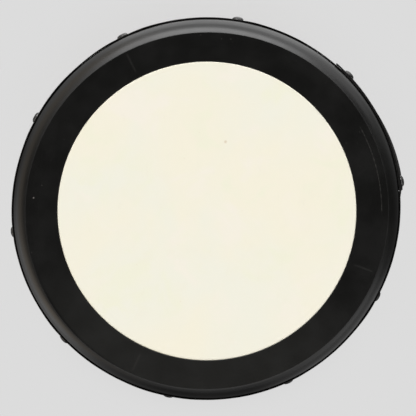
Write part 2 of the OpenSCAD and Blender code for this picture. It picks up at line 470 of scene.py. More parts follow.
def lacquer(name, ring=False):
    """Black satin lacquer over turned wood: lathe marks, a faint grain, worn edges, dust and scuffs."""
    g = Mat(name)
    r, a, x, y, z = g.polar()
    s = g.attr("along")
    wear = g.attr("wear")
    cloud = g.noise(g.mm, 0.035, 3.0, 0.6)
    fade = g.step(g.noise(g.mm, 0.022, 2.0, 0.5), 0.35, 0.65, 0.45, 1.0)
    coarse = g.noise1(s, 0.55, 3.0, 0.65)
    fine = g.noise1(s, 2.6, 2.0, 0.6)
    lathe = g.mul(g.add(g.mul(coarse, 0.7), g.mul(fine, 0.3)), fade)
    grain = g.noise(g.vmul(g.mm, (0.55, 0.55, 0.028)), 1.0, 4.0, 0.65) if not ring else \
        g.noise(g.vmul(g.mm, (0.04, 0.6, 0.3)), 1.0, 4.0, 0.65)
    orange = g.noise(g.mm, 1.1, 2.0, 0.5)
    n1 = g.bump(lathe, 0.045, 0.55)
    n2 = g.bump(grain, 0.05, 0.25, n1)
    n3 = g.bump(orange, 0.02, 0.25, n2)
    # scuffs: short strokes, and specks of dust
    stroke = g.noise(g.pack(g.mul(a, 1.3), g.mul(s, 0.06), g.mul(z, 0.02)), 1.0, 4.0, 0.7)
    scuff = g.mul(g.step(stroke, 0.66, 0.78), g.step(g.noise(g.mm, 0.05, 2.0), 0.5, 0.68))
    speck = g.step(g.cells(g.mm, 0.16), 0.035, 0.06, 1.0, 0.0)
    speck = g.mul(speck, g.step(g.noise(g.mm, 0.03, 1.0), 0.5, 0.6))
    base = g.mix(cloud, (0.0018, 0.0018, 0.0016), (0.0034, 0.0032, 0.0027)) if ring else \
        g.mix(cloud, (0.0034, 0.0034, 0.0030), (0.0056, 0.0054, 0.0047))
    base = g.mix(g.mul(scuff, 0.5), base, (0.030, 0.029, 0.027))
    base = g.mix(g.mul(speck, 0.55), base, (0.07, 0.068, 0.062))
    worn = g.mul(g.step(wear, 0.3, 1.0), g.step(g.noise(g.mm, 0.22, 5.0, 0.7), 0.52, 0.66))
    if ring:
        # two faint turned lines, and a dotted scratch beside the outer one
        dots = g.mul(g.band(r, 127.4, 127.75, 0.3), g.mul(g.band(a, 1.0, 27.0, 2.5), g.step(g.noise1(a, 0.9, 2.0), 0.40, 0.62, 0.3, 1.0)))
        base = g.mix(g.mul(dots, 0.5), base, (0.052, 0.050, 0.047))
        # painted reflection: one side of the flat is painted lighter in patches, standing in for the brighter
        # reflection it shows there
        painted_reflection = g.mul(g.band(a, 232.0, 292.0, 46.0), g.band(r, 110.0, 130.0, 2.0))
        painted_reflection = g.mul(painted_reflection, g.step(g.noise(g.mm, 0.03, 3.0, 0.6), 0.2, 0.7, 0.7, 1.0))
        base = g.mix(painted_reflection, base, (0.0112, 0.0110, 0.0100))
        nib = g.math("SQRT", g.add(g.math("POWER", g.add(x, 126.5), 2.0), g.math("POWER", g.add(y, -9.8), 2.0)))
        base = g.mix(g.step(nib, 0.35, 0.8, 0.8, 0.0), base, (0.16, 0.15, 0.14))
        for at, w in ((117.0, 1.0), (245.0, 1.4), (340.0, 1.2)):
            line = g.mul(g.band(a, at - 0.1 * w, at + 0.1 * w, 0.35), g.band(r, 113.0 + 3 * w, 127.0, 3.0))
            base = g.mix(g.mul(line, 0.14), base, (0.06, 0.058, 0.055))
        wood = (0.030, 0.026, 0.022)
    else:
        wood = (0.055, 0.038, 0.026)
    base = g.mix(g.mul(worn, 0.35 if ring else 0.75), base, wood)
    rough = g.add(g.step(cloud, 0.3, 0.7, 0.28, 0.34), g.add(g.mul(scuff, 0.18), g.mul(speck, 0.3)))
    rough = g.add(rough, g.mul(worn, 0.12))
    g.set(base=base, rough=rough, spec=0.5, normal=n3)
    return g.m


def raw_wood():
    """The unlacquered inside: straight-grained wood with tool rings."""
    g = Mat("raw_wood")
    s = g.attr("along")
    rings = g.noise(g.vmul(g.mm, (0.10, 0.10, 0.006)), 1.0, 3.0, 0.55, 0.6)
    wave = g.math("FRACT", g.mul(rings, 7.0))
    tone = g.step(wave, 0.15, 0.95)
    pores = g.noise(g.vmul(g.mm, (2.2, 2.2, 0.06)), 1.0, 3.0, 0.6)
    base = g.mix(tone, (0.42, 0.25, 0.125), (0.30, 0.165, 0.075))
    base = g.mix(g.step(pores, 0.6, 0.72), base, (0.16, 0.085, 0.04))
    base = g.mix(g.mul(g.attr("wear"), 0.35), base, (0.15, 0.09, 0.05))
    tool = g.noise1(s, 0.8, 2.0, 0.6)
    nrm = g.bump(pores, 0.12, 0.5, g.bump(tool, 0.15, 0.4))
    g.set(base=base, rough=g.step(pores, 0.3, 0.7, 0.62, 0.8), spec=0.35, normal=nrm)
    return g.m


def film():
    """Cream head film: a faint uneven tone, a very fine tooth, one small blemish."""
    g = Mat("head_film")
    r, a, x, y, z = g.polar()
    big = g.noise(g.mm, 0.011, 3.0, 0.6, 0.4)
    mid = g.noise(g.mm, 0.05, 4.0, 0.62)
    fibre = g.noise(g.vmul(g.mm, (0.16, 0.035, 0.1)), 1.0, 5.0, 0.65, 0.8)
    tooth = g.noise(g.mm, 1.6, 3.0, 0.6)
    base = g.mix(g.step(big, 0.34, 0.66), (0.876, 0.838, 0.698), (0.850, 0.838, 0.728))
    patch = g.noise(g.add_vec(g.mm, (31.0, 12.0, 0.0)), 0.028, 3.0, 0.6, 0.5)
    base = g.mix(g.step(patch, 0.52, 0.72, 0.0, 0.75), base, (0.882, 0.836, 0.742))
    base = g.mix(g.step(patch, 0.30, 0.46, 0.7, 0.0), base, (0.846, 0.840, 0.678))
    base = g.mix(g.mul(g.step(mid, 0.5, 0.8), 0.35), base, (0.842, 0.806, 0.672))
    base = g.mix(g.mul(g.step(fibre, 0.58, 0.76), 0.22), base, (0.878, 0.852, 0.745))
    base = g.mix(g.mul(g.step(fibre, 0.28, 0.4, 1.0, 0.0), 0.16), base, (0.80, 0.765, 0.64))
    # painted shade: the film is darkened towards the ring's edge, where the head meets the ring
    base = g.mix(g.step(r, 104.5, 109.5, 0.0, 0.22), base, (0.842, 0.808, 0.672))
    spot = g.math("SQRT", g.add(g.math("POWER", g.add(x, -13.6), 2.0), g.math("POWER", g.add(y, -50.7), 2.0)))
    base = g.mix(g.step(g.add(spot, g.mul(tooth, 1.2)), 1.0, 2.2, 0.55, 0.0), base, (0.62, 0.50, 0.34))
    flecks = g.mul(g.step(g.cells(g.mm, 0.085), 0.03, 0.055, 1.0, 0.0), g.step(g.noise(g.mm, 0.04, 1.0), 0.52, 0.6))
    base = g.mix(g.mul(flecks, 0.22), base, (0.70, 0.60, 0.44))
    nrm = g.bump(tooth, 0.02, 0.35, g.bump(fibre, 0.05, 0.25))
    g.set(base=base, rough=g.step(mid, 0.3, 0.7, 0.46, 0.56), spec=0.22, normal=nrm)
    return g.m


def vinyl():
    """The edging strip: thin black vinyl with a fine leather grain and rubbed edges."""
    g = Mat("strip_vinyl")
    wear = g.attr("wear")
    grain = g.cells(g.mm, 0.95, "SMOOTH_F1")
    pebble = g.noise(g.mm, 0.8, 3.0, 0.55)
    cloud = g.noise(g.mm, 0.05, 3.0, 0.6)
    base = g.mix(cloud, (0.0062, 0.0060, 0.0056), (0.0105, 0.0100, 0.0092))
    rub = g.mul(g.step(wear, 0.3, 1.0), g.step(g.noise(g.mm, 0.3, 4.0, 0.65), 0.42, 0.62))
    base = g.mix(g.mul(rub, 0.4), base, (0.017, 0.016, 0.015))
    dust = g.step(g.cells(g.mm, 0.22), 0.03, 0.06, 1.0, 0.0)
    base = g.mix(g.mul(dust, 0.3), base, (0.06, 0.058, 0.054))
    nrm = g.bump(g.add(grain, g.mul(pebble, 0.6)), 0.10, 0.5)
    g.set(base=base, rough=g.add(g.step(cloud, 0.3, 0.7, 0.52, 0.62), g.mul(dust, 0.2)), spec=0.16, normal=nrm)
    return g.m


def metal(name, dark, light, rough, scratch=0.5, stretch=(1, 1, 1), rust=0.0, metallic=1.0):
    g = Mat(name)
    wear = g.attr("wear")
    cloud = g.noise(g.mm, 0.25, 4.0, 0.6)
    hair = g.noise(g.vmul(g.mm, stretch), 2.5, 4.0, 0.7)
    base = g.mix(g.step(cloud, 0.3, 0.7), dark, light)
    edge = g.mul(g.step(wear, 0.25, 1.0), g.step(g.noise(g.mm, 0.8, 3.0), 0.38, 0.6))
    base = g.mix(g.mul(edge, 0.6), base, tuple(min(1.0, 2.2 * c + 0.12) for c in light))
    if rust:
        spots = g.mul(g.step(g.noise(g.mm, 0.5, 5.0, 0.7), 0.6, 0.7), rust)
        base = g.mix(spots, base, (0.10, 0.045, 0.02))
        g.set(metal=g.math("SUBTRACT", metallic, g.mul(spots, 0.7)))
    else:
        g.set(metal=metallic)
    nrm = g.bump(hair, 0.02, scratch, g.bump(cloud, 0.05, 0.3))
    g.set(base=base, rough=g.add(g.step(hair, 0.3, 0.7, rough - 0.06, rough + 0.08), g.mul(edge, -0.08)), normal=nrm)
    return g.m


def rubber():
    g = Mat("foot_rubber")
    wear = g.attr("wear")
    cloud = g.noise(g.mm, 0.06, 3.0, 0.6)
    skin = g.noise(g.mm, 1.4, 4.0, 0.65)
    base = g.mix(cloud, (0.010, 0.010, 0.010), (0.020, 0.019, 0.018))
    base = g.mix(g.mul(g.step(wear, 0.3, 1.0), g.step(g.noise(g.mm, 0.3, 4.0), 0.4, 0.6)), base, (0.055, 0.052, 0.048))
    g.set(base=base, rough=g.step(cloud, 0.3, 0.7, 0.66, 0.82), spec=0.3, normal=g.bump(skin, 0.10, 0.5))
    return g.m


def resin():
    g = Mat("hoop_resin")
    cloud = g.noise(g.mm, 0.12, 3.0, 0.6)
    base = g.mix(cloud, (0.30, 0.17, 0.06), (0.44, 0.28, 0.11))
    g.set(base=base, rough=g.step(cloud, 0.3, 0.7, 0.18, 0.32), spec=0.5, normal=g.bump(cloud, 0.3, 0.4))
    return g.m


RING_LACQUER = lacquer("ring_lacquer", ring=True)
SHELL_LACQUER = lacquer("shell_lacquer")
RAW_WOOD = raw_wood()
FILM = film()
VINYL = vinyl()
TACK_STEEL = metal("tack_steel", (0.020, 0.020, 0.020), (0.045, 0.044, 0.042), 0.36, 0.5, rust=0.25, metallic=0.55)
BOLT_STEEL = metal("bolt_steel", (0.055, 0.055, 0.058), (0.10, 0.10, 0.105), 0.34, 0.4, rust=0.12)
WASHER_STEEL = metal("washer_steel", (0.42, 0.42, 0.43), (0.58, 0.58, 0.59), 0.30, 0.4, rust=0.10)
HOOP_METAL = metal("hoop_metal", (0.60, 0.60, 0.62), (0.72, 0.72, 0.74), 0.32, 0.5, (0.2, 0.2, 3.0))
BRASS = metal("insert_brass", (0.55, 0.37, 0.12), (0.70, 0.50, 0.20), 0.28, 0.4)
RUBBER = rubber()
RESIN = resin()

# ---------------------------------------------------------------- tuning ring
top = [(HEAD_R, RING_TOP, 0.35)]
marks = sorted([112.5, 115.5, 118.5, 124.5, 129.6] + [g + d for g in (122.0, 127.0) for d in (-0.55, -0.3, 0.0, 0.3, 0.55)])
for q in marks:
    dip = 0.025 if q in (122.0, 127.0) else 0.0
    ripple = 0.0 if dip or abs(q - 122) < 1 or abs(q - 127) < 1 else rng.uniform(-0.012, 0.012)
    top.append((q, RING_TOP - dip + min(0.0, ripple)))
top.append((FLAT_R, RING_TOP, 0.7))
a0 = math.degrees(math.acos((FLAT_R - SHOULDER_CX) / SHOULDER))
a1 = math.degrees(math.asin((RING_BOT - SHOULDER_CZ) / SHOULDER))
side = arc((SHOULDER_CX, SHOULDER_CZ), SHOULDER, a0, a1, 40)[1:]
side = [(p[0] + rng.uniform(-0.012, 0.012), p[1] + rng.uniform(-0.012, 0.012)) for p in side[:-1]] + [(*side[-1], 0.6)]
under = [(HOOP_R + 1.5, RING_BOT, 0.5), (HOOP_R + 1.5, HOOP_TOP, 0.6), (HEAD_R + 1.35, HOOP_TOP, 0.25),
         (HEAD_R + 1.35, HOOP_TOP + 1.5, 0.3), (HEAD_R, HOOP_TOP + 4, 0.3)]
ring = revolve("ring_turned", rounded(top + side + under), [RING_LACQUER], 448, angle=40)
cut(ring, [pin(x, y, RING_BOT - 1, RING_BOT + 11.06, 4.56) for x, y, _, _ in BOLTS] )
cut(ring, [pin(x, y, RING_BOT + 10.5, RING_BOT + 13.5, 3.4) for x, y, _, _ in BOLTS])
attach(ring, "ring")
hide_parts("tuning_ring")

# ---------------------------------------------------------------- head film
outer = [(0.0, SKIN_TOP), (6, SKIN_TOP), (20, SKIN_TOP), (40, SKIN_TOP), (60, SKIN_TOP), (80, SKIN_TOP), (95, SKIN_TOP), (103, SKIN_TOP), (106, SKIN_TOP)]
# the film creeps out over the rim's corner as it is pulled down, so its flat runs almost to the ring
outer += [(107.6, SKIN_TOP)] + arc((108.4, SKIN_TOP - 0.65), 0.65, 90, 0, 8) + [(109.08, SKIN_TOP - 3.6)]
edge_out = [(HOOP_FILM_R + FILM_T, BEND_Z), (HOOP_FILM_R + FILM_T, HOOP_BOT + 2)]
edge_in = [(HOOP_FILM_R, HOOP_BOT + 2), (HOOP_FILM_R, BEND_Z)]
inner = [(108.58, SKIN_TOP - 3.6)] + arc((108.4, SKIN_TOP - 0.65), 0.15, 0, 90, 4) + [(q, CREST_Z) for q in (107.6, 106, 103, 95, 80, 60, 40, 20, 6)] + [(0.0, CREST_Z)]
line = densify(outer + edge_out[:1], 1.0)[0:1] + outer[1:] + densify([outer[-1], edge_out[0]], 0.8)[1:] + densify(edge_out, 0.8)[1:] \
    + edge_in[:1] + densify(edge_in, 0.8)[1:] + densify([edge_in[-1], inner[0]], 0.8)[1:] + inner[1:]
skin = revolve("head_sheet", [(q[0], q[1], 0.0, 0) for q in line], [FILM], 288, round_place, 30)
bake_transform(skin)
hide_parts("drum_skin")

# ---------------------------------------------------------------- hoop and resin, hidden in the ring
hoop = rounded([(HOOP_FILM_R - HOOP_T, HOOP_BOT, 0.4), (HOOP_R, HOOP_BOT, 0.5), (HOOP_R, HOOP_TOP, 0.25),
                (HOOP_R - HOOP_T, HOOP_TOP, 0.25), (HOOP_R - HOOP_T, HOOP_BOT + HOOP_T, 0.3),
                (HOOP_FILM_R, HOOP_BOT + HOOP_T, 0.2), (HOOP_FILM_R, BEND_Z - 0.2, 0.2), (HOOP_FILM_R - HOOP_T, BEND_Z - 0.2, 0.2)], 3, 0.4)
ob = revolve("hoop_channel", hoop, [HOOP_METAL], 288, round_place)
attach(ob, "ring"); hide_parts("flesh_hoop")
fill_in = HOOP_FILM_R + FILM_T + 0.02
fill = rounded([(HOOP_FILM_R + 0.02, HOOP_BOT + HOOP_T + 0.02), (HOOP_R - HOOP_T - 0.02, HOOP_BOT + HOOP_T + 0.02),
                (HOOP_R - HOOP_T - 0.02, HOOP_TOP - 0.9, 0.1), (HOOP_R - 3.0, HOOP_TOP - 1.35), (fill_in + 2.0, HOOP_TOP - 1.7), (fill_in + 0.6, BEND_Z - 0.15, 0.1),
                (fill_in, BEND_Z - 0.35), (fill_in, HOOP_BOT + 1.95), (HOOP_FILM_R + 0.02, HOOP_BOT + 1.95)], 3, 0.3)
ob = revolve("resin_bead", fill, [RESIN], 256, round_place)
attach(ob, "ring"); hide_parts("hoop_resin")

# ---------------------------------------------------------------- shell: bowl
NECK_Z, NECK_R, BORE_R, FOOT_R, BOWL_R = 214.0, 55.0, 41.0, 110.0, 117.0
WAIST_R = NECK_R + 24
bowl_out = bez((BOWL_R, FLANGE_BOT - 4), (BOWL_R + 1.5, FLANGE_BOT - 62), (WAIST_R + 24, NECK_Z + 86), (WAIST_R, NECK_Z + 54), 44)
bowl_out += bez((WAIST_R, NECK_Z + 54), (WAIST_R - 12, NECK_Z + 38), (NECK_R, NECK_Z + 33), (NECK_R, NECK_Z + 11), 26)[1:]
bowl_out = groove(densify(bowl_out, 6.0, (FLANGE_BOT - 18, FLANGE_BOT - 24), 0.3), (FLANGE_BOT - 18, FLANGE_BOT - 24))
bead = arc((NECK_R + 0.5, NECK_Z + 6), 5, 80, -80, 18)
bowl_in = bez((BOWL_R - 12, FLANGE_BOT - 18), (BOWL_R - 11, FLANGE_BOT - 67), (WAIST_R + 14, NECK_Z + 88), (WAIST_R - 11, NECK_Z + 56), 34)
bowl_in += bez((WAIST_R - 11, NECK_Z + 56), (WAIST_R - 20, NECK_Z + 44.5), (BORE_R, NECK_Z + 42), (BORE_R, NECK_Z + 24), 18)[1:]
RIM_IN = RIM_R - 8.6
pts = [(RIM_IN, CREST_Z - 0.03, 4.0, 1), (108.52, CREST_Z - 0.03, 0.3, 0), (108.5, CREST_Z - 3.5, 0.3, 0), (RIM_R, CREST_Z - 5.0, 0.3, 0), (RIM_R, FLANGE_TOP, 0.6, 0), (FLANGE_R, FLANGE_TOP, 0.9, 0),
       (FLANGE_R, FLANGE_BOT, 0.9, 0), (BOWL_R, FLANGE_BOT, 4.0, 0)]
pts += [(*p, 0, 0) for p in bowl_out[1:-1]] + [(*bowl_out[-1], 0.4, 0)] + [(*p, 0, 0) for p in bead[1:-1]]
pts += [(NECK_R, NECK_Z + 1, 0.2, 0), (NECK_R, NECK_Z, 0.35, 1), (BORE_R + 6.5, NECK_Z, 0.3, 1), (BORE_R + 6.5, NECK_Z + 22, 0.4, 1),
        (BORE_R, NECK_Z + 22, 0.4, 1)]
pts += [(*p, 0, 1) for p in reversed(bowl_in)] + [(RIM_IN, FLANGE_BOT + 6, 1.5, 1)]
bowl = revolve("bowl_turned", rounded(pts), [SHELL_LACQUER, RAW_WOOD], 400, angle=38)
cut(bowl, [pin(x, y, FLANGE_BOT - 1, FLANGE_TOP + 1, 3.4) for x, y, _, _ in BOLTS])
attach(bowl, "shell"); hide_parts("bowl_shell")

# ---------------------------------------------------------------- shell: stem and foot
stem_out = bez((NECK_R, NECK_Z - 7.5), (NECK_R, NECK_Z - 54), (NECK_R + 5, 122), (NECK_R + 14, 86), 30)
stem_out += bez((NECK_R + 14, 86), (NECK_R + 21.8, 54.8), (FOOT_R - 18, 33), (FOOT_R, 15), 30)[1:]
stem_out = groove(densify(stem_out, 6.0, (36.0,), 0.35), (36.0,), 1.0, 1.5)
stem_in = bez((BORE_R, NECK_Z - 24), (BORE_R + 1, NECK_Z - 60), (NECK_R - 5.5, 118), (NECK_R + 3.5, 82), 22)
stem_in += bez((NECK_R + 3.5, 82), (NECK_R + 11.3, 50.8), (FOOT_R - 29, 30), (FOOT_R - 12, 11.5), 22)[1:]
pts = [(BORE_R + 6.45, NECK_Z + 21.9, 0.9, 1), (BORE_R + 6.45, NECK_Z - 0.02, 0.2, 1), (NECK_R, NECK_Z - 0.02, 0.35, 0), (NECK_R, NECK_Z - 1.5, 0.2, 0)]
pts += [(*p, 0, 0) for p in arc((NECK_R, NECK_Z - 4.5), 3, 80, -80, 14)[1:-1]] + [(*stem_out[0], 0.3, 0)]
pts += [(*p, 0, 0) for p in stem_out[1:-1]] + [(FOOT_R, 15, 1.5, 0), (FOOT_R, 5, 0.6, 0), (FOOT_R - 12, 5, 0.6, 1)]
pts += [(FOOT_R - 12, 11.5, 0, 1)] + [(*p, 0, 1) for p in reversed(stem_in[:-1])] + [(BORE_R, NECK_Z + 21.9, 0.5, 1)]
stem = revolve("stem_turned", rounded(pts), [SHELL_LACQUER, RAW_WOOD], 384, round_place, 38)
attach(stem, "shell"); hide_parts("stem_foot")

# ---------------------------------------------------------------- rubber ring under the foot
tread = [(FOOT_R - 10.5, 0, 0.5), (FOOT_R - 7.6, 0, 0.25), (FOOT_R - 7.2, 0.7, 0.2), (FOOT_R - 6.4, 0.7, 0.2), (FOOT_R - 6.0, 0, 0.25),
         (FOOT_R - 4.0, 0, 0.25), (FOOT_R - 3.6, 0.7, 0.2), (FOOT_R - 2.8, 0.7, 0.2), (FOOT_R - 2.4, 0, 0.25),
         (FOOT_R + 0.5, 0, 0.6), (FOOT_R + 1.5, 1, 0.5), (FOOT_R + 1.5, 5.2, 0.2), (FOOT_R + 1.25, 5.5, 0.2), (FOOT_R + 1.25, 6.3, 0.2), (FOOT_R + 1.5, 6.6, 0.2),
         (FOOT_R + 1.5, 11.5, 0.3), (FOOT_R + 1, 12, 0.3), (FOOT_R + 0.02, 12, 0.2), (FOOT_R + 0.02, 4.98), (FOOT_R - 11.5, 4.98, 0.3), (FOOT_R - 11.5, 1, 0.6)]
ob = revolve("foot_tread", rounded(tread, 3, 0.3), [RUBBER], 320, round_place, 40)
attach(ob, "shell"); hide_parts("foot_ring")

# ---------------------------------------------------------------- bolts
PITCH = 1.0


def hex_radius(half_flat, th):
    return half_flat / np.cos((th + math.pi / 6) % (math.pi / 3) - math.pi / 6)


def bolt_data(x, y, seat, top_z, turn):
    """A socket-head bolt, head down: seat is the height of the head's bearing face."""
    length = top_z - seat
    rows = [(0.0, -2.3, 0, "c"), (1.6, -2.75, 0, "c"), (2.5, -2.95, 0, "hex"), (2.5, -3.3, 0, "hex"), (2.5, -5.55, 0.2, "hex"), (2.5, -5.72, 0.9, "hex"),
            (2.72, -5.97, 0.9, "hex"), (3.1, -6.0, 0.1, "mix"), (3.6, -6.0, 0.0, "c"), (4.25, -6.0, 0.1, "c"), (4.5, -5.96, 0.8, "c"), (4.78, -5.72, 0.9, "c"), (4.9, -5.45, 0.5, "c"),
            (5.0, -5.2, 0.5, "knurl"), (5.0, -4.2, 0.4, "knurl"), (5.0, -3.0, 0.35, "knurl"), (5.0, -1.8, 0.4, "knurl"), (5.0, -0.9, 0.5, "knurl"),
            (4.95, -0.5, 0.4, "c"), (4.88, -0.12, 0.8, "c"), (4.7, 0.0, 0.3, "c"), (4.0, 0.0, 0.0, "c"), (3.3, 0.0, 0.0, "c"), (3.0, 0.25, 0.0, "c"), (2.95, 0.6, 0.0, "c")]
    n = int((length - 1.6) * 5)
    for k in range(n + 1):
        rows.append((2.98, 0.8 + (length - 1.6) * k / n, 0.0, "thread"))
    rows += [(2.3, length - 0.25, 0.5, "c"), (2.0, length - 0.02, 0.3, "c"), (1.0, length, 0.0, "c"), (0.0, length, 0.0, "c")]
    segs = 48

    def radius(i, th):
        r, z, w, kind = rows[i]
        if kind == "hex":
            return hex_radius(r, th)
        if kind == "mix":
            return 0.5 * hex_radius(2.72, th) + 0.5 * 3.45
        if kind == "knurl":
            return r - 0.17 * (np.arange(segs) % 2)
        if kind == "thread":
            f = (z / PITCH - th / (2 * math.pi)) % 1.0
            depth = np.clip(np.abs(f - 0.5) * 2 * 1.25 - 0.1, 0, 1)
            fade = min(1.0, (z - 0.8) / 1.2, (length - 0.6 - z) / 0.8)
            return r - 0.56 * depth * max(0.0, fade)
        return np.full(segs, r)

    v, f, w, a, m = revolve_data([(r, z, w, 0) for r, z, w, k in rows], segs, round_place, radius)
    v = np.array(v)
    c, s = math.cos(turn), math.sin(turn)
    out = np.stack([v[:, 0] * c - v[:, 1] * s + x, v[:, 0] * s + v[:, 1] * c + y, v[:, 2] + seat], 1)
    return out, f, w, a, m


for i, (x, y, seat, top_z) in enumerate(BOLTS):
    v, f, w, a, m = bolt_data(x, y, seat, top_z, rng.uniform(0, math.pi / 3))
    ob = make_object("bolt_%02d_m6" % (i + 1), v, f, [BOLT_STEEL], {"wear": w, "along": a}, m, 28)
    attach(ob, "bolt_%02d" % (i + 1))
    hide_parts("tuning_bolt_%02d" % (i + 1))

# ---------------------------------------------------------------- washers and inserts
washers = []
for x, y, seat, _ in BOLTS:
    prof = rounded([(3.3, seat + 0.02, 0.2), (6.0, seat + 0.02, 0.35), (6.0, seat + 1.59, 0.2), (3.3, seat + 1.59, 0.15)], 3, 0.3)
    dx, dy = rng.uniform(-0.18, 0.18), rng.uniform(-0.18, 0.18)
    v, f, w, a, m = revolve_data(prof, 48)
    washers.append(([(p[0] + x + dx, p[1] + y + dy, p[2]) for p in v], f, w, a, m))
v, f, w, a, m = join_data(washers)
ob = make_object("washers_flat", v, f, [WASHER_STEEL], {"wear": w, "along": a}, m, 35)
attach(ob, "shell"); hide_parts("bolt_washers")

inserts = []
for x, y, _, _ in BOLTS:
    z0, z1 = RING_BOT, RING_BOT + 11
    body = [(3.45, z0, 0.1), (4.5, z0, 0.2), (4.5, z0 + 1.4, 0.1)]
    z = z0 + 1.7
    while z < z1 - 1.6:
        body += [(4.15, z), (4.5, z + 0.5, 0.08), (4.5, z + 0.95, 0.08), (4.15, z + 1.15)]
        z += 1.45
    body += [(4.2, z1 - 0.5, 0.2), (3.9, z1, 0.15), (3.3, z1, 0.1), (3.08, z1 - 0.3), (3.08, z0 + 0.4)]
    v, f, w, a, m = revolve_data(rounded(body, 2, 0.2), 36)
    inserts.append(([(p[0] + x, p[1] + y, p[2]) for p in v], f, w, a, m))
v, f, w, a, m = join_data(inserts)
ob = make_object("insert_sleeves", v, f, [BRASS], {"wear": w, "along": a}, m, 30)
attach(ob, "ring"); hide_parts("ring_inserts")

# ---------------------------------------------------------------- tacks: angle, and how they sit
TACKS = [7.9, 43.0, 80.5, 116.0, 151.9, 187.1, 222.6, 258.5, 295.3, 332.6]
STRIP_START, STRIP_END = 5.4, 408.0


def strip_in(deg):
    """Inner radius of the strip at a turn of deg degrees, before the rim's out-of-roundness."""
    d = np.asarray(deg, float)
    return STRIP_IN + LAP * smooth((d - 365.03) / 0.37)


def slack(deg):
    """How far the strip's upper edge stands off between its tacks: below, it lies tight on the flange."""
    d = np.asarray(deg, float)
    pull = np.zeros_like(d)
    for t in TACKS:
        pull += np.exp(-((d - t) / 3.2) ** 2)
    wave = 0.11 * np.sin(np.radians(d * 10) + 0.8) + 0.06 * np.sin(np.radians(d * 23) + 2.0)
    # it stands off more over the quarter turns where the rim is straightest
    loose = np.maximum(0.0, 0.13 + 0.09 * np.sin(np.radians(d)) + wave)
    # the first lengths lie tight under the lap, and the lap lies tight on them
    return loose * (1 - 0.7 * np.clip(pull, 0, 1)) * smooth((d - 46) / 12) * smooth((358 - d) / 8)


def flare(deg):
    """How far the lap's foot stands out: it was stretched there when its end was tacked down."""
    return np.interp(deg, [360.5, 363.0, 365.3, 367.5, 371.0, 380.0, 390.0, 400.0, 408.0], [0.0, 0.6, 1.9, 2.1, 2.1, 1.4, 0.2, 0.5, 0.65])


def foot_lean(frac):
    """The flare's share at a height: whole at the foot, none where the strip lies on the flange's upper edge."""
    return 1 - float(smooth((frac - 0.12) / 0.42))


def strip_out(deg):
    """Where a tack's head seats: the outer face of the outermost layer."""
    d = deg + 360 if deg + 360 <= STRIP_END else deg
    lean = float(flare(d)) * foot_lean((TACK_Z - STRIP_BOT) / (STRIP_TOP - STRIP_BOT))
    return float(strip_in(d)) + STRIP_T + lean


turns = np.unique(np.concatenate([np.linspace(STRIP_START, STRIP_END, 820), np.linspace(364.9, 365.5, 16), np.array([STRIP_START + 0.12, STRIP_END - 0.12])]))
inner_r = strip_in(turns)
sect_steps = 4
fr = 0.30


def section():
    """(offset out from the inner face, height above the strip's foot, wear) round the strip's section"""
    corners = [(0, 0), (STRIP_T, 0), (STRIP_T, STRIP_TOP - STRIP_BOT), (0, STRIP_TOP - STRIP_BOT)]
    prof = rounded([(c[0], c[1], 0.22 if k in (0, 1) else fr) for k, c in enumerate(corners)], sect_steps, 0.5)
    out = []
    for k, p in enumerate(prof):
        out.append(p)
        q = prof[(k + 1) % len(prof)]
        if abs(q[1] - p[1]) > 8:
            out += [(p[0] + (q[0] - p[0]) * s / 6, p[1] + (q[1] - p[1]) * s / 6, 0.0, 0) for s in range(1, 6)]
    return out


sec = section()
verts, wear, along = [], [], []
dist = 0.0
for k, (d, ri) in enumerate(zip(turns, inner_r)):
    th = math.radians(d)
    if k:
        dist += (ri + STRIP_T) * math.radians(d - turns[k - 1])
    top_wave = 0.22 * math.sin(3.0 * th + 0.6) + 0.12 * math.sin(11.0 * th + 1.9) + 0.07 * math.sin(31.0 * th)
    # near its free end the strip's upper corner springs out a little
    spring = 0.35 * math.exp(-((d - STRIP_END) / 3.0) ** 2)
    out_here, slack_here = float(flare(d)), float(slack(d))
    ends = min(1.0, (d - turns[0]) / 0.12, (turns[-1] - d) / 0.12)
    for off, h, w, _ in sec:
        frac = h / (STRIP_TOP - STRIP_BOT)
        zz = STRIP_BOT + h + (top_wave - 0.15) * frac ** 3
        squeeze = 0.12 * (1 - ends)
        rr = ri + squeeze + off * (1 - 2 * squeeze / STRIP_T) + spring * frac ** 2 + out_here * foot_lean(frac) + slack_here * min(1.0, max(0.0, (frac - 0.5) / 0.5))
        x, y = place(rr, th)
        verts.append((float(x), float(y), zz))
        wear.append(w)
        along.append(dist)
ns = len(sec)
faces = []
for k in range(len(turns) - 1):
    for j in range(ns):
        a, b = k * ns + j, k * ns + (j + 1) % ns
        faces.append((a, b, b + ns, a + ns))
faces.append(tuple(range(ns)))
faces.append(tuple(reversed(range((len(turns) - 1) * ns, len(turns) * ns))))
strip = make_object("strip_band", verts, faces, [VINYL], {"wear": wear, "along": along}, None, 40)
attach(strip, "shell"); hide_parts("edge_strip")

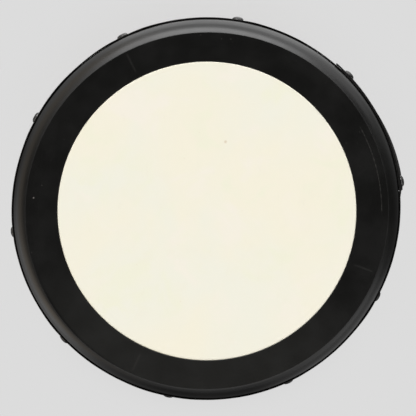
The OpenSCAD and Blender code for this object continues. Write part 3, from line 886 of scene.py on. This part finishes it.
# ---------------------------------------------------------------- tacks
tack_parts = []
for i, deg in enumerate(TACKS):
    th = math.radians(deg)
    head_r = 4.2 + rng.uniform(-0.12, 0.12)
    high = 2.15 + rng.uniform(-0.15, 0.1) + (0.2 if i == 0 else 0.0)
    rows = [(0.0, high, 0.35, 0)]
    for k in range(1, 13):
        t = k / 12 * math.pi / 2
        rows.append((head_r * math.sin(t) ** 0.92, 0.16 + (high - 0.16) * math.cos(t) ** 1.05, 0.35 + 0.55 * (k > 9), 0))
    rows += [(head_r, 0.05, 0.8, 0), (head_r - 0.12, -0.04, 0.3, 0), (head_r - 0.6, 0.02, 0.0, 0), (1.25, 0.02, 0.0, 0), (1.0, -0.2, 0.0, 0), (1.0, -6.0, 0.0, 0), (0.98, -11.5, 0.0, 0),
             (0.55, -12.8, 0.0, 0), (0.0, -13.4, 0.0, 0)]
    v, f, w, a, m = revolve_data(rows, 32)
    v = np.array(v)
    # a dint or two from the hammer
    for _ in range(2):
        q, dq = rng.uniform(0, 2 * math.pi), rng.uniform(0.3, 2.2)
        cx, cy = dq * math.cos(q), dq * math.sin(q)
        on_head = v[:, 2] > 0.3
        v[:, 2] -= np.where(on_head, 0.10 * np.exp(-((v[:, 0] - cx) ** 2 + (v[:, 1] - cy) ** 2) / 1.1), 0)
    tilt_a, tilt_b = rng.uniform(-0.035, 0.035), rng.uniform(-0.035, 0.035)
    above = v[:, 2] > -0.3
    v[:, 2] += np.where(above, v[:, 0] * tilt_a + v[:, 1] * tilt_b, 0)
    bx, by = place(strip_out(deg), th)
    z = TACK_Z + rng.uniform(-0.5, 0.5)
    n_out = np.array([math.cos(th), math.sin(th), 0.0])
    tang = np.array([-math.sin(th), math.cos(th), 0.0])
    up = np.array([0.0, 0.0, 1.0])
    pos = np.array([float(bx), float(by), z]) + v[:, 2:3] * n_out + v[:, 0:1] * tang + v[:, 1:2] * up
    tack_parts.append((pos, f, w, a, m))
v, f, w, a, m = join_data(tack_parts)
ob = make_object("tack_heads", v, f, [TACK_STEEL], {"wear": w, "along": a}, m, 40)
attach(ob, "shell"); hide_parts("strip_tacks")

# ---------------------------------------------------------------- floor
FLOOR_GREY = 0.7156
me = bpy.data.meshes.new("floor")
me.from_pydata([(-6, -6, 0), (6, -6, 0), (6, 6, 0), (-6, 6, 0)], [], [(0, 1, 2, 3)])
floor = bpy.data.objects.new("floor", me)
bpy.context.scene.collection.objects.link(floor)
floor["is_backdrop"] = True

# What stands round the drum, as its gloss sees it: brightness by compass angle (degrees from +X)
# for three heights, high (above 25 degrees), low (near the horizon) and the floor.
SKY_HIGH = [(0, 0.06), (25, 0.10), (45, 0.30), (56, 1.8), (64, 6.6), (114, 6.6), (123, 1.6), (140, 0.72), (160, 0.14), (200, 0.14), (222, 0.42), (245, 1.0), (285, 0.95), (312, 1.05), (328, 0.9), (339, 0.06), (360, 0.06)]
SKY_LOW = [(0, 0.06), (20, 0.16), (35, 1.2), (60, 1.9), (70, 1.8), (110, 1.65), (125, 1.1), (150, 0.8), (165, 0.65), (185, 0.85), (200, 1.4), (218, 1.8), (236, 0.7), (250, 0.4), (285, 0.38), (310, 1.15), (330, 1.4), (339, 0.06), (360, 0.06)]
FLOOR_GLOW = [(0, 0.10), (25, 0.36), (45, 1.05), (65, 1.75), (80, 1.6), (110, 1.5), (125, 0.6), (150, 0.30), (166, 0.10), (178, 0.20), (192, 0.38), (225, 0.44), (245, 0.17), (260, 0.10), (280, 0.10), (305, 0.45), (329, 0.55), (340, 0.08), (360, 0.10)]
# how much brighter the floor is further off
FAR_GLOW = [(0, 1.0), (50, 1.2), (65, 1.8), (110, 1.8), (130, 1.5), (150, 2.2), (166, 3.9), (178, 3.6), (200, 3.4), (218, 3.8), (236, 1.6), (250, 1.0), (360, 1.0)]


def ramp(g, fac, stops, top):
    n = g.t.nodes.new("ShaderNodeValToRGB")
    els = n.color_ramp.elements
    n.color_ramp.interpolation = "EASE"
    while len(els) > 1:
        els.remove(els[-1])
    els[0].position = stops[0][0] / 360
    els[0].color = (*([stops[0][1] / top] * 3), 1)
    for p, v in stops[1:]:
        e = els.new(p / 360)
        e.color = (*([v / top] * 3), 1)
    g.put(n.inputs[0], fac)
    return g.mul(n.outputs[0], top)


def compass(g, x, y):
    a = g.mul(g.math("ARCTAN2", y, x), 1 / (2 * math.pi))
    return g.math("WRAP", a, 1.0, 0.0)


m = bpy.data.materials.new("floor")
m.use_nodes = True
m.node_tree.nodes.clear()
g = Mat("floor", m.node_tree)
out = g.t.nodes.new("ShaderNodeOutputMaterial")
r, a, x, y, z = g.polar()
seen = g.t.nodes.new("ShaderNodeEmission")
seen.inputs[0].default_value = (1, 1, 1, 1)
seen.inputs[1].default_value = FLOOR_GREY
matte = g.t.nodes.new("ShaderNodeBsdfDiffuse")
speckle = g.noise(g.mm, 0.5, 3.0, 0.6)
g.put(matte.inputs[0], g.mix(speckle, (0.70, 0.70, 0.70), (0.74, 0.74, 0.74)))
near = g.t.nodes.new("ShaderNodeMixShader")
g.put(near.inputs[0], g.step(r, 110.0, 192.0, 0.25, 1.0))
g.t.links.new(matte.outputs[0], near.inputs[1])
g.t.links.new(seen.outputs[0], near.inputs[2])
glow = g.t.nodes.new("ShaderNodeEmission")
shade = g.step(r, 110.0, 260.0, 0.25, 1.0)
where = compass(g, x, y)
far = g.add(1.0, g.mul(g.add(ramp(g, where, FAR_GLOW, 4.0), -1.0), g.step(r, 500.0, 1600.0)))
g.put(glow.inputs[1], g.mul(ramp(g, where, FLOOR_GLOW, 4.0), g.mul(far, shade)))
path = g.t.nodes.new("ShaderNodeLightPath")
pick = g.t.nodes.new("ShaderNodeMixShader")
g.t.links.new(path.outputs["Is Camera Ray"], pick.inputs[0])
g.t.links.new(glow.outputs[0], pick.inputs[1])
g.t.links.new(near.outputs[0], pick.inputs[2])
# from under the floor the drum's foot shows
geo = g.t.nodes.new("ShaderNodeNewGeometry")
clear = g.t.nodes.new("ShaderNodeBsdfTransparent")
side_pick = g.t.nodes.new("ShaderNodeMixShader")
g.t.links.new(geo.outputs["Backfacing"], side_pick.inputs[0])
g.t.links.new(pick.outputs[0], side_pick.inputs[1])
g.t.links.new(clear.outputs[0], side_pick.inputs[2])
g.t.links.new(side_pick.outputs[0], out.inputs[0])
me.materials.append(m)

# ---------------------------------------------------------------- studio light
TOP_GLOW, ZENITH = 1.07, 0.006
world = bpy.data.worlds.new("studio")
bpy.context.scene.world = world
world.use_nodes = True
world.node_tree.nodes.clear()
g = Mat("world", world.node_tree)
out = g.t.nodes.new("ShaderNodeOutputWorld")
x, y, z = g.xyz(g.coord.outputs["Generated"])
c = compass(g, x, y)
high = ramp(g, c, SKY_HIGH, 8.0)
low = ramp(g, c, SKY_LOW, 6.0)
level = g.add(g.mul(low, g.step(z, 0.34, 0.48, 1.0, 0.0)), g.mul(high, g.mul(g.step(z, 0.34, 0.48), g.step(z, 0.72, 0.80, 1.0, 0.0))))
level = g.add(level, g.mul(TOP_GLOW, g.mul(g.step(z, 0.72, 0.80), g.step(z, 0.87, 0.93, 1.0, 0.0))))
near_z = g.add(ZENITH, g.mul(g.step(y, -0.45, 0.05, 1.0, 0.0), 0.08))
level = g.add(level, g.mul(near_z, g.step(z, 0.87, 0.93)))
warm = g.mul(g.step(x, -0.8, -0.2, 1.0, 0.0), g.step(z, 0.45, 0.6, 1.0, 0.0))
tint = g.mix(warm, (1.0, 1.0, 1.0), (1.0, 0.88, 0.74))
light = g.t.nodes.new("ShaderNodeBackground")
g.put(light.inputs[0], tint)
g.put(light.inputs[1], level)
back = g.t.nodes.new("ShaderNodeBackground")
back.inputs[0].default_value = (1, 1, 1, 1)
back.inputs[1].default_value = FLOOR_GREY
path = g.t.nodes.new("ShaderNodeLightPath")
pick = g.t.nodes.new("ShaderNodeMixShader")
g.t.links.new(path.outputs["Is Camera Ray"], pick.inputs[0])
g.t.links.new(light.outputs[0], pick.inputs[1])
g.t.links.new(back.outputs[0], pick.inputs[2])
g.t.links.new(pick.outputs[0], out.inputs[0])

# ---------------------------------------------------------------- camera: all but straight down on the head
scene = bpy.context.scene
scene.view_settings.view_transform = "Standard"
scene.view_settings.look = "None"
cam = bpy.data.objects.new("camera", bpy.data.cameras.new("camera"))
scene.collection.objects.link(cam)
TILT = math.radians(2.5)
cam.location = (0.0, 4.0 * math.sin(TILT), SKIN_TOP * MM + 4.0 * math.cos(TILT))
cam.rotation_euler = (-TILT, 0.0, 0.0)
cam.data.sensor_width = 36.0
cam.data.lens = 474.3
cam.data.shift_x = 0.0026
cam.data.shift_y = 0.0078
cam.data.clip_start, cam.data.clip_end = 0.05, 50
scene.camera = cam

lo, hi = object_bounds()
